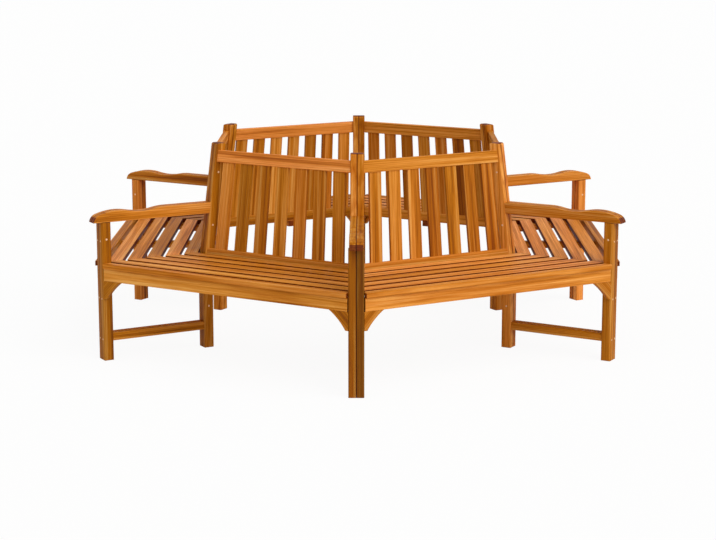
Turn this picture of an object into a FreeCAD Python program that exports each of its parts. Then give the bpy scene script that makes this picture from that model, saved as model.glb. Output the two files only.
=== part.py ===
# Hexagonal tree bench of oiled hardwood: six straight seats with slatted backs round an open middle.
# Millimetres. The origin is the middle of the hexagon on the floor, +Z is up and -Y faces the viewer.
# Six corner frames stand on rays from the origin; each is a pair of boarded frames set side by side,
# so that every seat has its own frame at both of its ends. The seats span from corner to corner.
import FreeCAD, Part
import math
import os
import re
import Sketcher

doc = FreeCAD.newDocument("tree_bench")

# Driving dimensions
SIZES = {
    # Corner frames: reach is measured from the middle of the hexagon
    "corner_reach": 1270.0,
    "leg_thickness": 32.0,
    "leg_depth": 44.0,
    "leg_edge_round": 8.0,
    "board_thickness": 28.5,
    "post_reach": 795.0,
    "post_depth": 44.0,
    "post_height": 905.0,
    "post_bend_height": 363.0,
    "post_lean_angle": 7.7,
    "post_edge_round": 4.0,
    "post_top_round": 10.0,
    # Arm rests: a long board with a hump over the leg and a rounded nose. The rises are above its
    # underside, and the dip and the hump lie back from the leg's outer face
    "arm_underside": 600.0,
    "arm_overhang": 33.0,
    "arm_rear_rise": 48.0,
    "arm_dip_rise": 36.0,
    "arm_dip_setback": 192.0,
    "arm_hump_rise": 47.0,
    "arm_hump_setback": 80.0,
    "arm_hump_round": 260.0,
    "arm_rear_round": 250.0,
    "arm_nose_round": 40.0,
    "arm_edge_round": 4.0,
    # Stretchers low between the legs
    "stretcher_height": 35.0,
    "stretcher_thickness": 20.0,
    "stretcher_underside": 83.0,
    # Seat: slats on radial rails and a middle batten, with an apron under the front slat. Its front
    # stands proud of the line between the legs' faces, and the full slats share the depth that is
    # left between the front slat and the backrest
    "seat_height": 426.0,
    "slat_thickness": 21.0,
    "seat_front_proud": 24.0,
    "front_slat_width": 38.0,
    "slat_gap": 20.0,
    "seat_back_gap": 13.0,
    "mitre_gap": 2.0,
    "leg_notch_clearance": 1.5,
    "slat_tip_square": 18.0,
    "seat_rail_depth": 30.0,
    "batten_width": 35.0,
    "batten_tail": 12.0,
    "apron_height": 55.0,
    "apron_thickness": 22.0,
    "apron_recess": 9.0,
    "apron_end_gap": 3.5,
    # Knee brackets under the ends of the apron
    "bracket_length": 90.0,
    "bracket_drop": 78.0,
    "bracket_tip": 14.0,
    "bracket_curve_round": 260.0,
    "bracket_setback": 1.0,
    # Backrest: its lower rail hangs from the seat's height and its top rail from the posts' height. The
    # slats are spread evenly, with a gap to the post at either end
    "back_rail_thickness": 24.0,
    "back_rail_proud": 7.0,
    "lower_rail_drop": 26.0,
    "lower_rail_height": 47.0,
    "top_rail_drop": 29.0,
    "top_rail_height": 52.0,
    "back_slat_width": 57.0,
    "back_slat_thickness": 15.0,
    "back_end_gap_low": 37.5,
    "back_end_gap_high": 30.0,
    "tenon_length": 12.0,
    "tenon_shoulder": 5.0,
    # Bolts that pair the frames, with their plugs
    "bolt_diameter": 6.0,
    "bolt_head_diameter": 9.0,
    "bolt_head_height": 4.0,
    "plug_depth": 5.0,
    "leg_bolt_drop": 72.0,
    "post_bolt_drop": 52.0,
    "foot_bolt_rise": 70.0,
    "top_bolt_drop": 126.0,
    # Plugs in the end faces of the outer legs
    "end_plug_diameter": 8.0,
    "end_plug_drop": 80.0,
    "end_plug_middle": 270.0,
    "end_plug_low": 92.0,
    # Screws up into the seat slats
    "screw_diameter": 4.0,
    "screw_head_diameter": 8.0,
    "screw_head_height": 3.0,
    "screw_bite": 13.0,
    "apron_screw_offset": 400.0,
    # Dowels
    "dowel_diameter": 8.0,
    "dowel_length": 34.0,
    "rail_dowel_spacing": 26.0,
    "arm_dowel_rise": 23.0,
}

CORNERS = ["right_front", "right_back", "back", "left_back", "left_front", "front"]
SIDES = ["right", "back_right", "back_left", "left", "front_left", "front_right"]
TURN = 360.0 / len(CORNERS)
HALF = TURN / 2
FIRST_CORNER = -HALF
FIRST_SIDE = 0.0
SIDE_TEMPLATE_AZIMUTH = 90.0
PLUGGED_CORNERS = ["right_front", "right_back", "left_back", "left_front"]
BACK_SLATS = 7
FULL_SEAT_SLATS = 5
SLATS_AT_LEGS = 2

sheet = doc.addObject("Spreadsheet::Sheet", "Size")
for row, (alias, number) in enumerate(SIZES.items(), start=1):
    sheet.set(f"A{row}", alias)
    sheet.set(f"B{row}", str(number))
    sheet.setAlias(f"B{row}", alias)
doc.recompute()


def sized(text):
    """Point each size named in a formula at its cell."""
    return re.sub("[a-z_]+", lambda found: ("Size." if found[0] in SIZES else "") + found[0], text)


def value(text):
    """The number that a formula gives at present."""
    return float(sheet.evalExpression(sized(text).replace("Size.", "")))


def bind(thing, **formulas):
    for name, formula in formulas.items():
        thing.setExpression(name, sized(formula))


def seat_at(thing, place):
    """Tie the three coordinates of an object's place to their formulas."""
    for axis, formula in zip("xyz", place):
        thing.setExpression("Placement.Base." + axis, sized(formula))


# Formulas that several parts share
LEG_INNER = "(corner_reach - leg_depth)"
SLAT_UNDER = "(seat_height - slat_thickness)"
RAIL_UNDER = f"({SLAT_UNDER} - seat_rail_depth)"
SCREW_TOP = f"({SLAT_UNDER} + screw_bite)"
SEAT_FRONT = f"(corner_reach * cos({HALF}) + seat_front_proud)"
APRON_FRONT = f"({SEAT_FRONT} - apron_recess)"
APRON_BACK = f"({APRON_FRONT} - apron_thickness)"
APRON_UNDER = f"({SLAT_UNDER} - apron_height)"
BOARD_MIDDLE = "(board_thickness / 2)"
ARM_REACH = "(corner_reach + arm_overhang)"
ARM_REAR_HEIGHT = "(arm_underside + arm_rear_rise)"
LOWER_RAIL_UNDER = "(seat_height - lower_rail_drop)"
LOWER_RAIL_TOP = f"({LOWER_RAIL_UNDER} + lower_rail_height)"
TOP_RAIL_TOP = "(post_height - top_rail_drop)"
TOP_RAIL_UNDER = f"({TOP_RAIL_TOP} - top_rail_height)"
STRETCHER_TOP = "(stretcher_underside + stretcher_height)"
BACK_RAKE = f"atan(tan(post_lean_angle) * cos({HALF}))"


def post_face(height):
    """Reach of a post's outer face at a height above its bend."""
    return f"(post_reach - tan(post_lean_angle) * ({height} - post_bend_height))"


def back_face(height):
    """Distance of the backrest rails' outer face from the middle, square to the side."""
    return f"({post_face(height)} * cos({HALF}) + back_rail_proud)"


def along(distance, clearance):
    """Half length of a piece at a distance from the middle, ending clear of the corner's centre plane."""
    return f"(({distance} * sin({HALF}) - {clearance}) / cos({HALF}))"


# Ways to make a piece
def box(name, low, high):
    item = doc.addObject("Part::Box", name)
    for size, start, end in zip(("Length", "Width", "Height"), low, high):
        bind(item, **{size: f"{end} - ({start})"})
    seat_at(item, low)
    return item


def wedge(name, back, front, low, high, back_clearance, front_clearance):
    """A board along a side whose two ends follow the corners' centre planes."""
    item = doc.addObject("Part::Wedge", name)
    back_half = along(back, back_clearance)
    front_half = along(front, front_clearance)
    bind(item, Ymin=back, Ymax=front, Zmin=low, Zmax=high, Z2min=low, Z2max=high)
    bind(item, Xmin=f"- {back_half}", Xmax=back_half, X2min=f"- {front_half}", X2max=front_half)
    return item


AIMS = {"x": FreeCAD.Rotation(FreeCAD.Vector(0, 1, 0), 90),
        "y": FreeCAD.Rotation(FreeCAD.Vector(1, 0, 0), -90),
        "z": FreeCAD.Rotation()}


def rod(name, diameter, length, start, aim):
    item = doc.addObject("Part::Cylinder", name)
    item.Placement = FreeCAD.Placement(FreeCAD.Vector(), AIMS[aim])
    bind(item, Radius=f"{diameter} / 2", Height=length)
    seat_at(item, start)
    return item


def fused(name, pieces):
    item = doc.addObject("Part::MultiFuse", name)
    item.Shapes = pieces
    return item


def group(name, pieces, angle=0.0, tilt=None):
    """Pieces kept as separate solids, turned together about Z or tilted about X."""
    item = doc.addObject("Part::Compound", name)
    item.Links = pieces
    axis = FreeCAD.Vector(1, 0, 0) if tilt else FreeCAD.Vector(0, 0, 1)
    item.Placement = FreeCAD.Placement(FreeCAD.Vector(), FreeCAD.Rotation(axis, angle))
    if tilt:
        item.setExpression("Placement.Rotation.Angle", sized(tilt))
    return item


def cut(name, base, tools):
    item = doc.addObject("Part::Cut", name)
    item.Base = base
    item.Tool = tools[0] if len(tools) == 1 else group(name + "_tools", tools)
    return item


def common(name, base, tool):
    item = doc.addObject("Part::Common", name)
    item.Base = base
    item.Tool = tool
    return item


def mirrored(name, source, across):
    item = doc.addObject("Part::Mirroring", name)
    item.Source = source
    item.Normal = across
    return item


ACROSS_SEAM = FreeCAD.Vector(0, 1, 0)
ACROSS_SIDE = FreeCAD.Vector(1, 0, 0)


def outline(body, corners):
    """A closed outline in the XZ plane. Each corner is (x, z) or (x, z, radius, turn): a radius makes the
    line to the next corner an arc, and turn is 1 where it bulges to the left of its run, else -1."""
    sketch = body.newObject("Sketcher::SketchObject", body.Name + "_outline")
    plane = [item for item in body.Origin.OriginFeatures if item.Role == "XZ_Plane"][0]
    sketch.AttachmentSupport = [(plane, "")]
    sketch.MapMode = "FlatFace"
    points = [FreeCAD.Vector(value(corner[0]), value(corner[1]), 0) for corner in corners]
    for index, corner in enumerate(corners):
        start = points[index]
        end = points[(index + 1) % len(points)]
        if len(corner) == 2:
            sketch.addGeometry(Part.LineSegment(start, end))
            continue
        radius = value(corner[2])
        chord = end - start
        left = FreeCAD.Vector(-chord.y, chord.x, 0).normalize()
        rise = radius - math.sqrt(radius ** 2 - (chord.Length / 2) ** 2)
        middle = (start + end) / 2 + left * rise * corner[3]
        sketch.addGeometry(Part.Arc(start, middle, end))
    last = len(corners)
    for index in range(last):
        following = (index + 1) % last
        end_of_line = arc_end(sketch, index, points[following])
        start_of_next = arc_end(sketch, following, points[following])
        sketch.addConstraint(Sketcher.Constraint("Coincident", index, end_of_line, following, start_of_next))
    for index, corner in enumerate(corners):
        point = arc_end(sketch, index, points[index])
        place_point(sketch, "DistanceX", index, point, corner[0])
        place_point(sketch, "DistanceY", index, point, corner[1])
        if len(corner) > 2:
            number = sketch.addConstraint(Sketcher.Constraint("Radius", index, value(corner[2])))
            sketch.setExpression(f"Constraints[{number}]", sized(corner[2]))
    return sketch


def arc_end(sketch, index, point):
    """1 where the line or arc starts at the point, 2 where it ends there."""
    starts_here = (sketch.getPoint(index, 1) - point).Length < 0.001
    return 1 if starts_here else 2


def place_point(sketch, kind, index, point, formula):
    number = sketch.addConstraint(Sketcher.Constraint(kind, -1, 1, index, point, value(formula)))
    sketch.setExpression(f"Constraints[{number}]", sized(formula))


def board(name, corners, thickness):
    """A board cut to an outline in the XZ plane, from y = 0 outwards to its thickness."""
    body = doc.addObject("PartDesign::Body", name)
    sketch = outline(body, corners)
    pad = body.newObject("PartDesign::Pad", name + "_board")
    pad.Profile = sketch
    pad.Reversed = True
    bind(pad, Length=thickness)
    doc.recompute()
    return body


LENGTHWISE = 0.99
CROSSWISE = 0.1
CLEAR = 1.0


def eased(body, radius, choose):
    """Round the edges of a board that `choose` picks by their middle and direction. The run is a unit vector:
    its share along an axis is over LENGTHWISE or under CROSSWISE, and CLEAR is a margin in millimetres."""
    tip = body.Tip
    names = []
    for number, edge in enumerate(tip.Shape.Edges, start=1):
        middle = edge.valueAt((edge.FirstParameter + edge.LastParameter) / 2)
        run = edge.tangentAt((edge.FirstParameter + edge.LastParameter) / 2)
        if choose(middle, run):
            names.append(f"Edge{number}")
    fillet = body.newObject("PartDesign::Fillet", body.Name + f"_round{len(body.Group)}")
    fillet.Base = (tip, names)
    bind(fillet, Radius=radius)
    doc.recompute()
    return body


# Corner frame, drawn on the ray towards +X: the board on the +Y side, then its mirror image
def leg_board():
    outer, inner = "corner_reach", LEG_INNER
    corners = [(outer, "0"), (outer, "arm_underside"), (inner, "arm_underside"), (inner, "0")]
    body = board("leg", corners, "leg_thickness")
    return eased(body, "leg_edge_round", lambda middle, run: abs(run.z) > LENGTHWISE and middle.y > CLEAR)


def post_board():
    bend, top = "post_bend_height", post_face("post_height")
    corners = [("post_reach", "0"), ("post_reach", bend), (top, "post_height"),
               (f"{top} - post_depth", "post_height"), ("post_reach - post_depth", bend),
               ("post_reach - post_depth", "0")]
    body = board("post", corners, "board_thickness")
    top_height = value("post_height") - CLEAR
    eased(body, "post_top_round", lambda middle, run: middle.z > top_height and abs(run.y) > LENGTHWISE)
    return eased(body, "post_edge_round",
                 lambda middle, run: middle.y > CLEAR and abs(run.y) < CROSSWISE and middle.z > CLEAR)


def arm_board():
    """Top edge from the post: level, a hollow, a hump over the leg and the nose, all running together."""
    dip_reach, hump_reach = "(corner_reach - arm_dip_setback)", "(corner_reach - arm_hump_setback)"
    dip_height, hump_height = "(arm_underside + arm_dip_rise)", "(arm_underside + arm_hump_rise)"
    hollow_and_hump = ("(((arm_dip_setback - arm_hump_setback) ^ 2 + (arm_hump_rise - arm_dip_rise) ^ 2)"
                       " / (2 * (arm_hump_rise - arm_dip_rise)))")
    dip_round = f"({hollow_and_hump} - arm_hump_round)"
    rear_and_hollow = f"(arm_rear_round + {dip_round})"
    fall = "(arm_rear_rise - arm_dip_rise)"
    rear_centre = (f"({dip_reach} - sqrt(2 * {rear_and_hollow} * {fall} - {fall} ^ 2))",
                   f"({ARM_REAR_HEIGHT} - arm_rear_round)")
    dip_centre = (dip_reach, f"({dip_height} + {dip_round})")
    hump_centre = (hump_reach, f"({hump_height} - arm_hump_round)")
    nose_x = f"({ARM_REACH} - arm_nose_round)"
    inside = "(arm_hump_round - arm_nose_round)"
    nose_rise = f"sqrt({inside} ^ 2 - (arm_hump_setback + arm_overhang - arm_nose_round) ^ 2)"
    nose_centre = (nose_x, f"({hump_centre[1]} + {nose_rise})")

    def between(first, second, share):
        return [f"({one} + ({two} - {one}) * {share})" for one, two in zip(first, second)]

    rear_meets_dip = between(rear_centre, dip_centre, f"arm_rear_round / {rear_and_hollow}")
    dip_meets_hump = between(hump_centre, dip_centre, f"arm_hump_round / {hollow_and_hump}")
    hump_meets_nose = between(hump_centre, nose_centre, f"arm_hump_round / {inside}")
    nose_drop = f"({nose_centre[1]} - arm_underside)"
    nose_foot = f"({nose_x} + sqrt(arm_nose_round ^ 2 - {nose_drop} ^ 2))"
    behind_post = f"({post_face(ARM_REAR_HEIGHT)} - post_depth / 2)"
    corners = [(behind_post, ARM_REAR_HEIGHT),
               (rear_centre[0], ARM_REAR_HEIGHT, "arm_rear_round", 1),
               (rear_meets_dip[0], rear_meets_dip[1], dip_round, -1),
               (dip_meets_hump[0], dip_meets_hump[1], "arm_hump_round", 1),
               (hump_meets_nose[0], hump_meets_nose[1], "arm_nose_round", 1),
               (nose_foot, "arm_underside"),
               (behind_post, "arm_underside")]
    body = board("arm", corners, "board_thickness")
    rear = value(behind_post) + CLEAR
    under = value("arm_underside") + CLEAR
    return eased(body, "arm_edge_round",
                 lambda middle, run: middle.y > CLEAR and middle.x > rear and middle.z > under)


def bolt_set(name, distance, height, thickness):
    """One bolt through both boards with its nut and a plug over each end."""
    clear = "(plug_depth + bolt_head_height)"
    head = rod(name + "_head", "bolt_head_diameter", "bolt_head_height",
               (distance, f"{thickness} - {clear}", height), "y")
    shank_length = f"2 * ({thickness} - {clear})"
    shank = rod(name + "_shank", "bolt_diameter", shank_length,
                (distance, f"- ({thickness} - {clear})", height), "y")
    nut = rod(name + "_nut", "bolt_head_diameter", "bolt_head_height",
              (distance, f"- ({thickness} - plug_depth)", height), "y")
    plugs = [rod(name + "_plug", "bolt_head_diameter", "plug_depth",
                 (distance, f"{thickness} - plug_depth", height), "y"),
             rod(name + "_far_plug", "bolt_head_diameter", "plug_depth",
                 (distance, f"- {thickness}", height), "y")]
    return {"bolt": fused(name, [head, shank]), "nut": nut, "plugs": plugs}


def dowel(name, middle, aim):
    start = list(middle)
    place = "xyz".index(aim)
    start[place] = f"{middle[place]} - dowel_length / 2"
    return rod(name, "dowel_diameter", "dowel_length", start, aim)


def post_middle(height):
    return f"({post_face(height)} - post_depth / 2)"


leg_bolt_height = "(arm_underside - leg_bolt_drop)"
foot_bolt_height = f"({STRETCHER_TOP} + foot_bolt_rise)"
post_bolt_height = "(arm_underside - post_bolt_drop)"
top_bolt_height = "(post_height - top_bolt_drop)"
leg_bolt = bolt_set("leg_bolt", "(corner_reach - leg_depth / 2)", leg_bolt_height, "leg_thickness")
post_bolts = [bolt_set("foot_bolt", "(post_reach - post_depth / 2)", foot_bolt_height, "board_thickness"),
              bolt_set("post_bolt", post_middle(post_bolt_height), post_bolt_height, "board_thickness"),
              bolt_set("top_bolt", post_middle(top_bolt_height), top_bolt_height, "board_thickness")]
bolt_sets = [leg_bolt] + post_bolts

end_plugs = [rod("end_plug", "end_plug_diameter", "plug_depth",
                 ("corner_reach - plug_depth", "leg_thickness / 2", height), "x")
             for height in ("(arm_underside - end_plug_drop)", "end_plug_middle", "end_plug_low")]

rail_middle = f"({RAIL_UNDER} + seat_rail_depth / 2)"
stretcher_middle = "(stretcher_underside + stretcher_height / 2)"
arm_dowel_height = "(arm_underside + arm_dowel_rise)"
leg_dowels = [dowel("leg_dowel", (LEG_INNER, BOARD_MIDDLE, height), "x")
              for height in (rail_middle, stretcher_middle)]
foot_dowels = [dowel("rail_dowel", (post_face(rail_middle), BOARD_MIDDLE, rail_middle), "x"),
               dowel("stretcher_dowel", ("post_reach", BOARD_MIDDLE, stretcher_middle), "x")]
leg_middle = "(corner_reach - leg_depth / 2)"
arm_leg_dowel = dowel("arm_leg_dowel", (leg_middle, BOARD_MIDDLE, "arm_underside"), "z")
arm_end = post_face(arm_dowel_height)
arm_post_dowel = dowel("arm_post_dowel", (arm_end, BOARD_MIDDLE, arm_dowel_height), "x")

# Seat of one side, drawn with its outer edge towards +Y: the slats from the front to the back
seat_back = f"({back_face('seat_height')} + seat_back_gap)"
slat_pitch = f"(({SEAT_FRONT} - front_slat_width - {seat_back}) / {FULL_SEAT_SLATS})"
slat_edges = [(f"({SEAT_FRONT} - front_slat_width)", SEAT_FRONT)]
for number in range(FULL_SEAT_SLATS):
    slat_front = f"({SEAT_FRONT} - front_slat_width - slat_gap - {number} * {slat_pitch})"
    slat_edges.append((f"({slat_front} + slat_gap - {slat_pitch})", slat_front))


def slat_screw(name, across, distance):
    """A screw driven up into a slat from the underside of its rail or batten."""
    start = (across, distance, RAIL_UNDER)
    head = rod(name + "_head", "screw_head_diameter", "screw_head_height", start, "z")
    shank = rod(name + "_shank", "screw_diameter", f"{SCREW_TOP} - {RAIL_UNDER}", start, "z")
    return fused(name, [head, shank])


rail_screws = []
batten_screws = []
for back_edge, front_edge in slat_edges[1:]:
    middle = f"(({back_edge} + {front_edge}) / 2)"
    rail_screws.append(slat_screw("rail_screw", along(middle, BOARD_MIDDLE), middle))
    batten_screws.append(slat_screw("batten_screw", "0", middle))
apron_middle = f"({APRON_FRONT} - apron_thickness / 2)"
apron_screws = [slat_screw("apron_screw", across, apron_middle)
                for across in ("- apron_screw_offset", "0", "apron_screw_offset")]
far_rail_screws = [mirrored("far_rail_screw", screw, ACROSS_SIDE) for screw in rail_screws]
seat_screws = rail_screws + far_rail_screws + batten_screws + apron_screws

# Holes that the corner frames share with the sides, turned onto the corner's own ray
rail_screw_holes = group("rail_screw_holes", rail_screws, -(SIDE_TEMPLATE_AZIMUTH - HALF))

# Backrest of one side. Its rails and slats lie in one leaning plane through the lean's own line
LEAN_LINE = back_face("0")


def back_dowel(name, height):
    """A dowel along the side, half in a back rail's end and half in the post."""
    distance = f"({back_face(height)} - back_rail_thickness / 2)"
    return dowel(name, (along(distance, "board_thickness"), distance, height), "x")


back_dowels = []
for underside, rail_height in ((LOWER_RAIL_UNDER, "lower_rail_height"), (TOP_RAIL_UNDER, "top_rail_height")):
    for sign in ("-", "+"):
        height = f"({underside} + {rail_height} / 2 {sign} rail_dowel_spacing / 2)"
        back_dowels.append(back_dowel("back_dowel", height))
far_back_dowels = [mirrored("far_back_dowel", item, ACROSS_SIDE) for item in back_dowels]
back_dowel_holes = group("back_dowel_holes", back_dowels, -(SIDE_TEMPLATE_AZIMUTH - HALF))


def slope(height):
    """Distance up the leaning plane at a height above the floor."""
    return f"({height} / cos({BACK_RAKE}))"


def back_rail(name, underside, top):
    """A rail blank, longer than the space between the posts that it is trimmed to."""
    half = along("corner_reach", "0")
    return box(name, (f"- {half}", "- back_rail_thickness", slope(underside)), (half, "0", slope(top)))


def back_slat_pitch(height, end_gap):
    half = along(back_face(height), "board_thickness")
    return f"(({half} - {end_gap} - back_slat_width / 2) / {(BACK_SLATS - 1) / 2})"


def back_slat(number):
    """A fanned slat with a tenon at each end, standing between the two rails."""
    steps = number - (BACK_SLATS - 1) / 2
    low, high = slope(LOWER_RAIL_TOP), slope(TOP_RAIL_UNDER)
    pitch_low = back_slat_pitch(LOWER_RAIL_TOP, "back_end_gap_low")
    pitch_high = back_slat_pitch(TOP_RAIL_UNDER, "back_end_gap_high")
    spread = f"({steps} * ({pitch_low} - {pitch_high}))"
    length = f"sqrt(({high} - {low}) ^ 2 + {spread} ^ 2)"
    inset = "((back_rail_thickness - back_slat_thickness) / 2)"
    name = f"back_slat_{number + 1}"
    slat = box(name + "_board", ("- back_slat_width / 2", f"- {inset} - back_slat_thickness", "0"),
               ("back_slat_width / 2", f"- {inset}", length))
    half_tenon = "(back_slat_width / 2 - tenon_shoulder)"
    tenon = box(name + "_tenon",
                (f"- {half_tenon}", f"- {inset} - back_slat_thickness + tenon_shoulder", "- tenon_length"),
                (half_tenon, f"- {inset} - tenon_shoulder", f"{length} + tenon_length"))
    whole = fused(name, [slat, tenon])
    whole.Placement = FreeCAD.Placement(FreeCAD.Vector(), FreeCAD.Rotation(FreeCAD.Vector(0, 1, 0), 1))
    whole.setExpression("Placement.Rotation.Angle", sized(f"- asin({spread} / {length})"))
    seat_at(whole, (f"{steps} * {pitch_low}", "0", low))
    return whole


back_slats = [back_slat(number) for number in range(BACK_SLATS)]
doc.recompute()
lower_rail_blank = back_rail("lower_rail_blank", LOWER_RAIL_UNDER, LOWER_RAIL_TOP)
top_rail_blank = back_rail("top_rail_blank", TOP_RAIL_UNDER, TOP_RAIL_TOP)
flat_lower_rail = cut("flat_lower_rail", lower_rail_blank, back_slats)
flat_top_rail = cut("flat_top_rail", top_rail_blank, back_slats)


def leaned(name, pieces):
    """Pieces tilted into the back's leaning plane. A first angle other than 0 keeps the axis of the tilt."""
    item = group(name, pieces, 1.0, BACK_RAKE)
    seat_at(item, ("0", LEAN_LINE, "0"))
    return item


leaning_slats = leaned("leaning_slats", back_slats)
between_posts = wedge("between_posts", "post_reach / 2", "corner_reach", "0", "post_height",
                      "board_thickness", "board_thickness")
lower_rail = cut("lower_rail", common("trimmed_lower_rail", leaned("leaning_lower_rail", [flat_lower_rail]),
                                      between_posts), back_dowels + far_back_dowels)
top_rail = cut("top_rail", common("trimmed_top_rail", leaned("leaning_top_rail", [flat_top_rail]),
                                  between_posts), back_dowels + far_back_dowels)

# Corner boards with their holes
post = cut("post_with_holes", post_board(),
           [item for part in post_bolts for item in (part["bolt"], part["plugs"][0])]
           + foot_dowels + [arm_post_dowel, back_dowel_holes])
plain_post = doc.getObject("post")
arm = cut("arm_with_holes", arm_board(), [plain_post, arm_leg_dowel, arm_post_dowel])
plain_leg = leg_board()
leg_holes = [leg_bolt["bolt"], leg_bolt["plugs"][0], arm_leg_dowel] + leg_dowels
plain_end_leg = cut("plain_end_leg", plain_leg, leg_holes)
plugged_end_leg = cut("plugged_end_leg", plain_end_leg, end_plugs)
seat_rail = cut("seat_rail", box("seat_rail_blank", ("(post_reach - post_depth / 2)", "0", RAIL_UNDER),
                                 (LEG_INNER, "board_thickness", SLAT_UNDER)),
                [plain_post, leg_dowels[0], foot_dowels[0], rail_screw_holes])
stretcher_side = "((board_thickness - stretcher_thickness) / 2)"
stretcher = cut("stretcher", box("stretcher_blank", ("post_reach", stretcher_side, "stretcher_underside"),
                                 (LEG_INNER, f"{stretcher_side} + stretcher_thickness", STRETCHER_TOP)),
                [leg_dowels[1], foot_dowels[1]])

# Seat boards with their holes
leg_room = box("leg_room", (f"{LEG_INNER} - leg_notch_clearance", "- leg_thickness - leg_notch_clearance",
                            APRON_UNDER),
               ("corner_reach + leg_depth", "leg_thickness + leg_notch_clearance", "seat_height + 1"))
near_leg_room = group("near_leg_room", [leg_room], SIDE_TEMPLATE_AZIMUTH - HALF)
far_leg_room = group("far_leg_room", [leg_room], SIDE_TEMPLATE_AZIMUTH + HALF)
tip_back = f"({SEAT_FRONT} - slat_tip_square)"
tip_half = along(tip_back, "(leg_thickness + leg_notch_clearance)")
near_tip = box("near_tip", (tip_half, tip_back, SLAT_UNDER),
               (f"{tip_half} + leg_depth", f"{SEAT_FRONT} + 1", "seat_height + 1"))
far_tip = mirrored("far_tip", near_tip, ACROSS_SIDE)

seat_slats = []
for number, (back_edge, front_edge) in enumerate(slat_edges):
    blank = wedge(f"slat_{number + 1}_blank", back_edge, front_edge, SLAT_UNDER, "seat_height",
                  "mitre_gap / 2", "mitre_gap / 2")
    if number == 0:
        holes = apron_screws + [near_tip, far_tip]
    else:
        screws_of_slat = (rail_screws, far_rail_screws, batten_screws)
        holes = [screws[number - 1] for screws in screws_of_slat]
    if number < SLATS_AT_LEGS:
        holes = holes + [near_leg_room, far_leg_room]
    seat_slats.append(cut(f"seat_slat_{number + 1}", blank, holes))

apron_blank = wedge("apron_blank", APRON_BACK, APRON_FRONT, APRON_UNDER, SLAT_UNDER,
                    "leg_thickness", "(leg_thickness + apron_end_gap)")
screw_wells = [rod("screw_well", "screw_head_diameter", f"{RAIL_UNDER} - {APRON_UNDER}",
                   (across, apron_middle, APRON_UNDER), "z")
               for across in ("- apron_screw_offset", "0", "apron_screw_offset")]
apron = cut("apron", apron_blank, apron_screws + screw_wells)
batten_end = f"({back_face(LOWER_RAIL_UNDER)} - back_rail_thickness - batten_tail)"
batten = cut("batten", box("batten_blank", ("- batten_width / 2", batten_end, RAIL_UNDER),
                           ("batten_width / 2", APRON_BACK, SLAT_UNDER)), batten_screws + [lower_rail])


def bracket_board():
    """Knee bracket: its hollowed edge runs from under the apron to a blunt tip beside the leg."""
    front = f"({APRON_FRONT} - bracket_setback)"
    leg_end = along(front, "leg_thickness")
    past_leg = f"({leg_end} + leg_thickness / 2)"
    tip_height = f"({APRON_UNDER} - bracket_drop)"
    corners = [(past_leg, APRON_UNDER), (past_leg, tip_height),
               (f"{leg_end} - bracket_tip", tip_height, "bracket_curve_round", -1),
               (f"{leg_end} - bracket_length", APRON_UNDER)]
    body = board("bracket_board", corners, "apron_thickness - bracket_setback")
    bind(body, **{"Placement.Base.y": APRON_BACK})
    between_legs = wedge("between_legs", APRON_BACK, front, f"({tip_height} - 1)", APRON_UNDER,
                         "leg_thickness", "leg_thickness")
    return common("bracket", body, between_legs)


bracket = bracket_board()
far_bracket = mirrored("far_bracket", bracket, ACROSS_SIDE)

# Sub-parts: the corner pieces and their mirror images, and the side pieces, set round the hexagon
nodes = []


def node(name, pieces, angle=0.0):
    nodes.append(group(name, pieces, angle))
    nodes[-1].Label = name


def paired(name, source):
    return [source, mirrored(name + "_mirrored", source, ACROSS_SEAM)]


corner_angles = {name: FIRST_CORNER + TURN * step for step, name in enumerate(CORNERS)}
side_angles = {name: FIRST_SIDE + TURN * step - SIDE_TEMPLATE_AZIMUTH for step, name in enumerate(SIDES)}


def repeated(name, pieces, angles):
    """The same pieces at each of the angles, as one sub-part."""
    node(name, [group(f"{name}_{step + 1}", pieces, angle) for step, angle in enumerate(angles)])


plain_legs = paired("plain_end_leg", plain_end_leg)
plugged_legs = paired("plugged_end_leg", plugged_end_leg)
posts = paired("post", post)
arms = paired("arm", arm)
for name, angle in corner_angles.items():
    legs = plugged_legs if name in PLUGGED_CORNERS else plain_legs
    node(f"{name}_corner_outer_legs", legs, angle)
    node(f"{name}_corner_posts", posts, angle)
    node(f"{name}_corner_arms", arms, angle)
for name, angle in side_angles.items():
    node(f"{name}_side_seat_slats", seat_slats, angle)
    node(f"{name}_side_back_slats", [leaning_slats], angle)
    node(f"{name}_side_top_rail", [top_rail], angle)
    node(f"{name}_side_lower_rail", [lower_rail], angle)
    node(f"{name}_side_apron", [apron], angle)
all_corners = list(corner_angles.values())
all_sides = list(side_angles.values())
plugged_angles = [corner_angles[name] for name in PLUGGED_CORNERS]
repeated("seat_rails", paired("seat_rail", seat_rail), all_corners)
repeated("stretchers", paired("stretcher", stretcher), all_corners)
repeated("seat_battens", [batten], all_sides)
repeated("knee_brackets", [bracket, far_bracket], all_sides)
repeated("frame_bolts", [part["bolt"] for part in bolt_sets], all_corners)
repeated("frame_nuts", [part["nut"] for part in bolt_sets], all_corners)
repeated("bolt_plugs", [plug for part in bolt_sets for plug in part["plugs"]], all_corners)
end_plug_pairs = end_plugs + [mirrored("end_plug_mirrored", plug, ACROSS_SEAM) for plug in end_plugs]
repeated("leg_end_plugs", end_plug_pairs, plugged_angles)
repeated("slat_screws", seat_screws, all_sides)
repeated("back_rail_dowels", back_dowels + far_back_dowels, all_sides)
arm_dowels = [arm_leg_dowel, arm_post_dowel]
arm_dowels += [mirrored("arm_dowel_mirrored", item, ACROSS_SEAM) for item in arm_dowels]
repeated("arm_dowels", arm_dowels, all_corners)
frame_dowels = leg_dowels + foot_dowels
frame_dowels += [mirrored("frame_dowel_mirrored", item, ACROSS_SEAM) for item in frame_dowels]
repeated("frame_dowels", frame_dowels, all_corners)

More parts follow.
